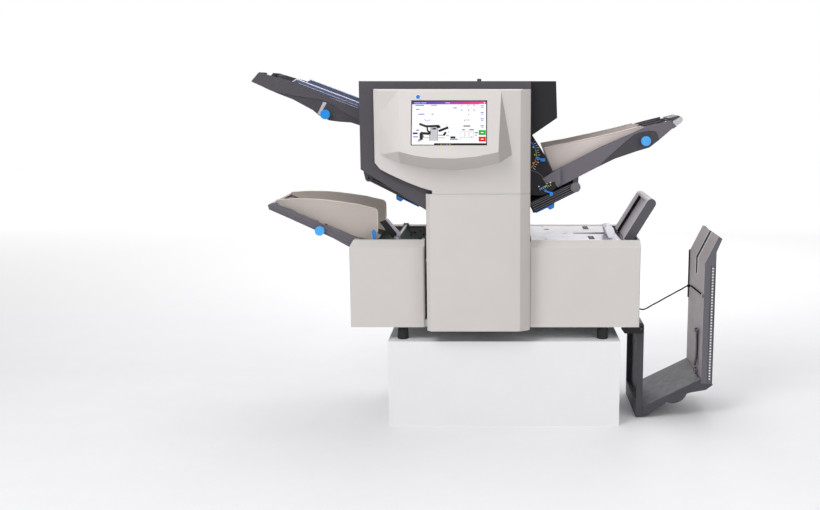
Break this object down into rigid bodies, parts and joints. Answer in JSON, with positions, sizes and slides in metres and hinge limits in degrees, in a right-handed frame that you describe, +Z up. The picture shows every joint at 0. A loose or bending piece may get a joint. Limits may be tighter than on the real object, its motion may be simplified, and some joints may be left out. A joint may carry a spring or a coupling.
{
  "type": "folder inserter",
  "caption": "Tabletop mailing machine that folds sheets from three feeders and inserts them into envelopes, with a touch screen head and a drop-down envelope stacker.",
  "frame": {"origin": "underside of the middle foot, on the table top under the middle of the column", "axes": "+X to the right as the operator faces the screen, towards the envelope stacker; +Y to the rear; +Z up"},
  "size_m": [1.388, 0.5063, 1.046],
  "materials": {
    "zinc_steel": "bright zinc plate",
    "rubber": "matt",
    "cover": "fine moulded texture",
    "green_steel": "satin paint",
    "dark_frame": "fine moulded texture",
    "black_cover": "satin",
    "screen": "gloss",
    "blue_control": "satin",
    "tray": "fine moulded texture",
    "blue_grey_guide": "satin",
    "bright_steel": "turned",
    "tan_guide": "brushed look, matt",
    "deck": "satin paint",
    "roller_rubber": "ground rubber",
    "white_plastic": "satin",
    "support_grey": "fine moulded texture",
    "stacker_dark": "fine moulded texture",
    "stacker_grey": "fine moulded texture",
    "cable": "smooth jacket"
  },
  "bodies": {
    "machine": {"base_plate": "zinc_steel", "feet": "rubber", "left_cover": "cover", "right_cover": "cover", "left_frame": "green_steel", "right_frame": "zinc_steel", "column_frame": "zinc_steel", "column_front_cover": "cover", "column_rear_cover": "cover", "head_shell": "dark_frame", "head_right_cover": "black_cover", "head_panel": "cover", "display_housing": "cover", "display_screen": "screen", "lid_hinge_pin": "zinc_steel", "upper_left_tray": "tray", "lower_left_tray": "tray", "right_tray": "tray", "right_feeder_plates": "dark_frame", "envelope_deck": "deck", "fold_motor": "black_cover", "power_inlet": "black_cover", "stacker_dock": "black_cover", "cable_gland": "black_cover"},
    "power_button": {"power_button": "blue_control"},
    "top_cover": {"top_cover": "dark_frame"},
    "upper_left_drive": {"upper_left_screw": "bright_steel", "upper_left_knob": "blue_control"},
    "upper_left_front_guide": {"upper_left_guide_front": "blue_grey_guide"},
    "upper_left_rear_guide": {"upper_left_guide_rear": "blue_grey_guide"},
    "upper_left_stop": {"upper_left_extension": "dark_frame"},
    "lower_left_drive": {"lower_left_screw": "bright_steel", "lower_left_knob": "blue_control"},
    "lower_left_front_guide": {"lower_left_guide_front": "tan_guide"},
    "lower_left_rear_guide": {"lower_left_guide_rear": "tan_guide"},
    "release_lever": {"lower_left_lever": "blue_control"},
    "roller_flap": {"lower_left_flap": "deck"},
    "right_drive": {"right_screw": "bright_steel", "right_knob": "blue_control"},
    "right_front_guide": {"right_guide_front": "tan_guide"},
    "right_rear_guide": {"right_guide_rear": "tan_guide"},
    "right_stop": {"right_extension": "dark_frame"},
    "separation_lever": {"separation_lever": "blue_control"},
    "gap_lever": {"gap_lever": "blue_control"},
    "left_flap": {"left_path_flap": "dark_frame"},
    "left_latch": {"left_flap_latch": "blue_control"},
    "right_flap": {"right_path_flap": "dark_frame"},
    "right_latch": {"right_flap_latch": "blue_control"},
    "envelope_roller": {"envelope_roller": "roller_rubber"},
    "envelope_wedge": {"envelope_wedge": "white_plastic"},
    "envelope_support": {"envelope_support": "support_grey"},
    "roller_a": {"fold_roller_a": "roller_rubber"},
    "roller_b": {"fold_roller_b": "roller_rubber"},
    "roller_c": {"fold_roller_c": "roller_rubber"},
    "pinion": {"motor_pinion": "bright_steel"},
    "stacker": {"stacker_wall": "stacker_dark", "stacker_base": "stacker_dark", "stacker_rail": "stacker_grey", "stacker_cable": "cable"},
    "stacker_backplate": {"stacker_backplate": "black_cover"}
  },
  "joints": [
    {"name": "power_button_press", "type": "slide", "parent": "machine", "child": "power_button", "axis": [0, 0.9458, -0.3246], "range_m": [0, 0.0015], "stiffness_N_per_m": 300, "springref_m": -0.001},
    {"name": "top_cover_open", "type": "hinge", "parent": "machine", "child": "top_cover", "pos_m": [0, 0.186, 0.75], "axis": [-1, 0, 0], "range_deg": [0, 65]},
    {"name": "upper_left_knob_turn", "type": "hinge", "parent": "machine", "child": "upper_left_drive", "pos_m": [-0.444, 0, 0.666], "axis": [0, 1, 0], "range_deg": [-180, 540]},
    {"name": "upper_left_front_guide_slide", "type": "slide", "parent": "machine", "child": "upper_left_front_guide", "axis": [0, 1, 0], "range_m": [-0.0125, 0.0365]},
    {"name": "upper_left_rear_guide_slide", "type": "slide", "parent": "machine", "child": "upper_left_rear_guide", "axis": [0, -1, 0], "range_m": [-0.0125, 0.0365]},
    {"name": "lower_left_knob_turn", "type": "hinge", "parent": "machine", "child": "lower_left_drive", "pos_m": [-0.47, 0, 0.325], "axis": [0, 1, 0], "range_deg": [-180, 540]},
    {"name": "lower_left_front_guide_slide", "type": "slide", "parent": "machine", "child": "lower_left_front_guide", "axis": [0, 1, 0], "range_m": [-0.0125, 0.0365]},
    {"name": "lower_left_rear_guide_slide", "type": "slide", "parent": "machine", "child": "lower_left_rear_guide", "axis": [0, -1, 0], "range_m": [-0.0125, 0.0365]},
    {"name": "right_knob_turn", "type": "hinge", "parent": "machine", "child": "right_drive", "pos_m": [0.488, 0, 0.589], "axis": [0, 1, 0], "range_deg": [-180, 540]},
    {"name": "right_front_guide_slide", "type": "slide", "parent": "machine", "child": "right_front_guide", "axis": [0, 1, 0], "range_m": [-0.0125, 0.0365]},
    {"name": "right_rear_guide_slide", "type": "slide", "parent": "machine", "child": "right_rear_guide", "axis": [0, -1, 0], "range_m": [-0.0125, 0.0365]},
    {"name": "upper_left_stop_pull", "type": "slide", "parent": "machine", "child": "upper_left_stop", "axis": [-0.9719, 0, 0.2355], "range_m": [0, 0.06]},
    {"name": "right_stop_pull", "type": "slide", "parent": "machine", "child": "right_stop", "axis": [0.9762, 0, 0.2169], "range_m": [0, 0.055]},
    {"name": "release_lever_turn", "type": "hinge", "parent": "machine", "child": "release_lever", "pos_m": [-0.3, -0.142, 0.262], "axis": [0, 1, 0], "range_deg": [0, 25]},
    {"name": "roller_flap_turn", "type": "hinge", "parent": "machine", "child": "roller_flap", "pos_m": [-0.242, 0, 0.3], "axis": [0, 1, 0], "range_deg": [0, 35]},
    {"name": "separation_lever_turn", "type": "hinge", "parent": "machine", "child": "separation_lever", "pos_m": [0.172, -0.15, 0.54], "axis": [0, 1, 0], "range_deg": [-20, 25]},
    {"name": "gap_lever_turn", "type": "hinge", "parent": "machine", "child": "gap_lever", "pos_m": [0.196, -0.15, 0.444], "axis": [0, 1, 0], "range_deg": [-15, 15]},
    {"name": "left_flap_open", "type": "hinge", "parent": "machine", "child": "left_flap", "pos_m": [-0.321, 0, 0.481], "axis": [0, 1, 0], "range_deg": [0, 24]},
    {"name": "right_flap_open", "type": "hinge", "parent": "machine", "child": "right_flap", "pos_m": [0.286, 0, 0.452], "axis": [0, -1, 0], "range_deg": [0, 24]},
    {"name": "left_latch_pull", "type": "slide", "parent": "left_flap", "child": "left_latch", "axis": [-0.8966, 0, 0.4428], "range_m": [0, 0.004], "stiffness_N_per_m": 400, "springref_m": -0.002},
    {"name": "right_latch_pull", "type": "slide", "parent": "right_flap", "child": "right_latch", "axis": [0.9012, 0, 0.4334], "range_m": [0, 0.004], "stiffness_N_per_m": 400, "springref_m": -0.002},
    {"name": "envelope_roller_spin", "type": "hinge", "parent": "machine", "child": "envelope_roller", "pos_m": [0.3365, 0, 0.2895], "axis": [0, 1, 0], "continuous": true},
    {"name": "envelope_wedge_slide", "type": "slide", "parent": "machine", "child": "envelope_wedge", "axis": [1, 0, 0], "range_m": [-0.04, 0.012]},
    {"name": "envelope_support_tilt", "type": "hinge", "parent": "machine", "child": "envelope_support", "pos_m": [0.446, 0, 0.277], "axis": [0, -1, 0], "range_deg": [0, 31]},
    {"name": "roller_a_spin", "type": "hinge", "parent": "machine", "child": "roller_a", "pos_m": [0, 0, 0.56], "axis": [0, 1, 0], "continuous": true},
    {"name": "roller_b_spin", "type": "hinge", "parent": "machine", "child": "roller_b", "pos_m": [0, 0, 0.512], "axis": [0, 1, 0], "continuous": true},
    {"name": "roller_c_spin", "type": "hinge", "parent": "machine", "child": "roller_c", "pos_m": [0.048, 0, 0.512], "axis": [0, 1, 0], "continuous": true},
    {"name": "pinion_spin", "type": "hinge", "parent": "machine", "child": "pinion", "pos_m": [0.0845, 0, 0.512], "axis": [0, 1, 0], "continuous": true},
    {"name": "stacker_lift", "type": "slide", "parent": "machine", "child": "stacker", "axis": [0, 0, 1], "range_m": [0, 0.018], "deforming": ["stacker_cable"]},
    {"name": "backplate_swing", "type": "hinge", "parent": "stacker", "child": "stacker_backplate", "pos_m": [0.673, -0.055, -0.002], "axis": [0, 1, 0], "range_deg": [0, 22]}
  ],
  "couplings": [
    {"joint": "upper_left_front_guide_slide", "follows": "upper_left_knob_turn", "m_per_rad": 0.0038197},
    {"joint": "upper_left_rear_guide_slide", "follows": "upper_left_knob_turn", "m_per_rad": 0.0038197},
    {"joint": "lower_left_front_guide_slide", "follows": "lower_left_knob_turn", "m_per_rad": 0.0038197},
    {"joint": "lower_left_rear_guide_slide", "follows": "lower_left_knob_turn", "m_per_rad": 0.0038197},
    {"joint": "right_front_guide_slide", "follows": "right_knob_turn", "m_per_rad": 0.0038197},
    {"joint": "right_rear_guide_slide", "follows": "right_knob_turn", "m_per_rad": 0.0038197},
    {"joint": "roller_b_spin", "follows": "roller_a_spin", "ratio": -1},
    {"joint": "roller_c_spin", "follows": "roller_a_spin", "ratio": 1},
    {"joint": "pinion_spin", "follows": "roller_a_spin", "ratio": -2}
  ]
}
